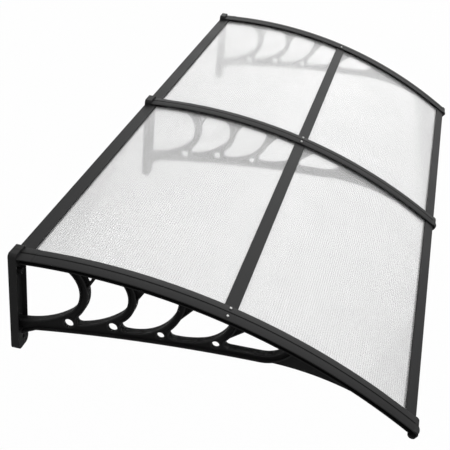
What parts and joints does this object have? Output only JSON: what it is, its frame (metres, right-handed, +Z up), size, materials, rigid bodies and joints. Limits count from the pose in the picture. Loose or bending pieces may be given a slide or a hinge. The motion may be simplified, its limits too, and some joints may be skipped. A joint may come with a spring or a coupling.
{
  "type": "door canopy",
  "caption": "Curved door canopy of twin-wall polycarbonate sheets in dark bars, carried on moulded wall brackets with open crescent frames.",
  "frame": {"origin": "centre of the middle wall plate's back face, on the wall's surface", "axes": "+X along the wall, +Y into the wall, +Z up; the canopy reaches out along -Y"},
  "size_m": [2.005, 0.9608, 0.2683],
  "materials": {
    "bracket_plastic": "fine satin grain, as moulded",
    "bar_aluminium": "dark powder coat on extruded aluminium",
    "sheet_polycarbonate": "translucent white twin-wall sheet with fine flutes",
    "screw_steel": "plain zinc-plated"
  },
  "bodies": {
    "root": {"bracket_1": "bracket_plastic", "bracket_2": "bracket_plastic", "bracket_3": "bracket_plastic", "rear_rail_1": "bar_aluminium", "rear_rail_2": "bar_aluminium", "front_rail_1": "bar_aluminium", "front_rail_2": "bar_aluminium", "centre_bar_1": "bar_aluminium", "centre_bar_2": "bar_aluminium", "rear_sheet_1": "sheet_polycarbonate", "rear_sheet_2": "sheet_polycarbonate", "front_sheet_1": "sheet_polycarbonate", "front_sheet_2": "sheet_polycarbonate", "screw_1_left": "screw_steel", "screw_1_right": "screw_steel", "screw_2_left": "screw_steel", "screw_2_right": "screw_steel", "screw_3_left": "screw_steel", "screw_3_right": "screw_steel"}
  },
  "joints": []
}
